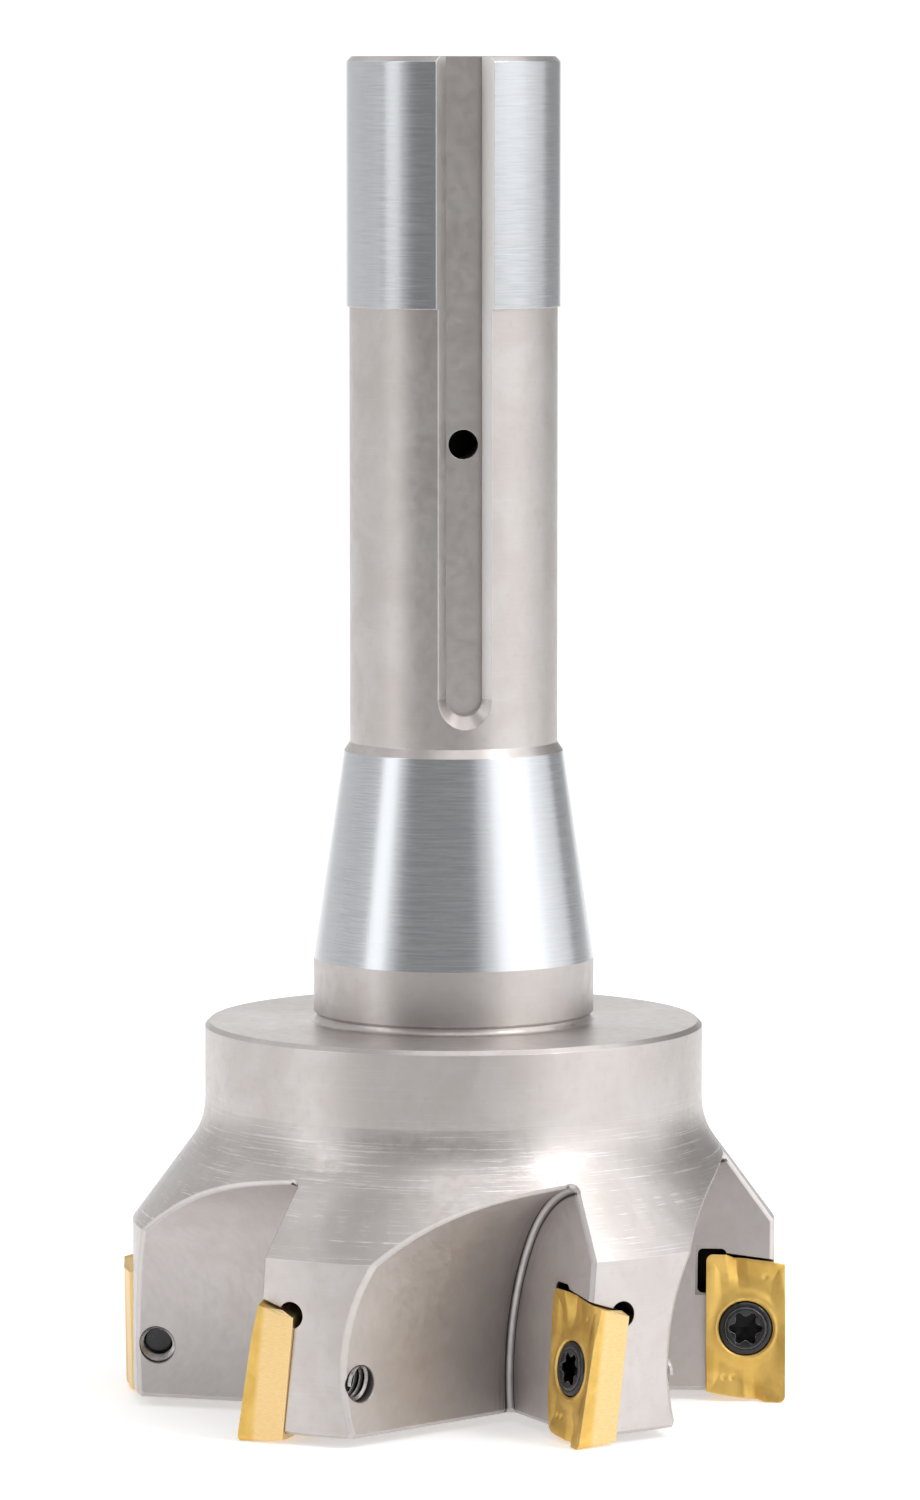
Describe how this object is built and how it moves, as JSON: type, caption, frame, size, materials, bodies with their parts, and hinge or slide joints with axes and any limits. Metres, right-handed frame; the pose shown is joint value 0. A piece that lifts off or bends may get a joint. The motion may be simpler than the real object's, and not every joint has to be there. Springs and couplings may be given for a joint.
{
  "type": "indexable face mill",
  "caption": "Right-hand 90 degree face mill on an R8 taper shank, with screwed carbide inserts seated in pockets around its rim, for cutting flat faces and square shoulders.",
  "frame": {"origin": "on the spindle axis, in the plane the insert corners cut in", "axes": "+Z along the spindle axis, up the shank; the keyway is close to the -Y side"},
  "size_m": [0.0754, 0.0708, 0.1519],
  "materials": {
    "steel_body": "satin nickel plate on the head, ground shank",
    "coated_carbide": "gold coloured titanium nitride coating on carbide",
    "black_screw_steel": "black oxide"
  },
  "bodies": {
    "cutter": {"cutter_body": "steel_body"},
    "insert_1_body": {"insert_1": "coated_carbide"},
    "screw_1_body": {"insert_screw_1": "black_screw_steel"},
    "insert_2_body": {"insert_2": "coated_carbide"},
    "screw_2_body": {"insert_screw_2": "black_screw_steel"},
    "insert_3_body": {"insert_3": "coated_carbide"},
    "screw_3_body": {"insert_screw_3": "black_screw_steel"},
    "insert_4_body": {"insert_4": "coated_carbide"},
    "screw_4_body": {"insert_screw_4": "black_screw_steel"},
    "insert_5_body": {"insert_5": "coated_carbide"},
    "screw_5_body": {"insert_screw_5": "black_screw_steel"},
    "insert_6_body": {"insert_6": "coated_carbide"},
    "screw_6_body": {"insert_screw_6": "black_screw_steel"}
  },
  "joints": [
    {"name": "insert_1_lift", "type": "slide", "parent": "cutter", "child": "insert_1_body", "axis": [-0.8749, -0.4711, 0.1124], "range_m": [0, 0.012]},
    {"name": "screw_1_turn", "type": "hinge", "parent": "insert_1_body", "child": "screw_1_body", "pos_m": [0.01692, -0.02861, 0.00777], "axis": [-0.8749, -0.4711, 0.1124], "range_deg": [0, 6177.6]},
    {"name": "insert_2_lift", "type": "slide", "parent": "cutter", "child": "insert_2_body", "axis": [-0.0295, -0.9932, 0.1124], "range_m": [0, 0.012]},
    {"name": "screw_2_turn", "type": "hinge", "parent": "insert_2_body", "child": "screw_2_body", "pos_m": [0.03323, 0.00035, 0.00777], "axis": [-0.0295, -0.9932, 0.1124], "range_deg": [0, 6177.6]},
    {"name": "insert_3_lift", "type": "slide", "parent": "cutter", "child": "insert_3_body", "axis": [0.8454, -0.5221, 0.1124], "range_m": [0, 0.012]},
    {"name": "screw_3_turn", "type": "hinge", "parent": "insert_3_body", "child": "screw_3_body", "pos_m": [0.01631, 0.02895, 0.00777], "axis": [0.8454, -0.5221, 0.1124], "range_deg": [0, 6177.6]},
    {"name": "insert_4_lift", "type": "slide", "parent": "cutter", "child": "insert_4_body", "axis": [0.8749, 0.4711, 0.1124], "range_m": [0, 0.012]},
    {"name": "screw_4_turn", "type": "hinge", "parent": "insert_4_body", "child": "screw_4_body", "pos_m": [-0.01692, 0.02861, 0.00777], "axis": [0.8749, 0.4711, 0.1124], "range_deg": [0, 6177.6]},
    {"name": "insert_5_lift", "type": "slide", "parent": "cutter", "child": "insert_5_body", "axis": [0.0295, 0.9932, 0.1124], "range_m": [0, 0.012]},
    {"name": "screw_5_turn", "type": "hinge", "parent": "insert_5_body", "child": "screw_5_body", "pos_m": [-0.03323, -0.00035, 0.00777], "axis": [0.0295, 0.9932, 0.1124], "range_deg": [0, 6177.6]},
    {"name": "insert_6_lift", "type": "slide", "parent": "cutter", "child": "insert_6_body", "axis": [-0.8454, 0.5221, 0.1124], "range_m": [0, 0.012]},
    {"name": "screw_6_turn", "type": "hinge", "parent": "insert_6_body", "child": "screw_6_body", "pos_m": [-0.01631, -0.02895, 0.00777], "axis": [-0.8454, 0.5221, 0.1124], "range_deg": [0, 6177.6]}
  ],
  "couplings": [
    {"joint": "screw_1_turn", "follows": "insert_1_lift", "rad_per_m": 8976},
    {"joint": "screw_2_turn", "follows": "insert_2_lift", "rad_per_m": 8976},
    {"joint": "screw_3_turn", "follows": "insert_3_lift", "rad_per_m": 8976},
    {"joint": "screw_4_turn", "follows": "insert_4_lift", "rad_per_m": 8976},
    {"joint": "screw_5_turn", "follows": "insert_5_lift", "rad_per_m": 8976},
    {"joint": "screw_6_turn", "follows": "insert_6_lift", "rad_per_m": 8976}
  ]
}
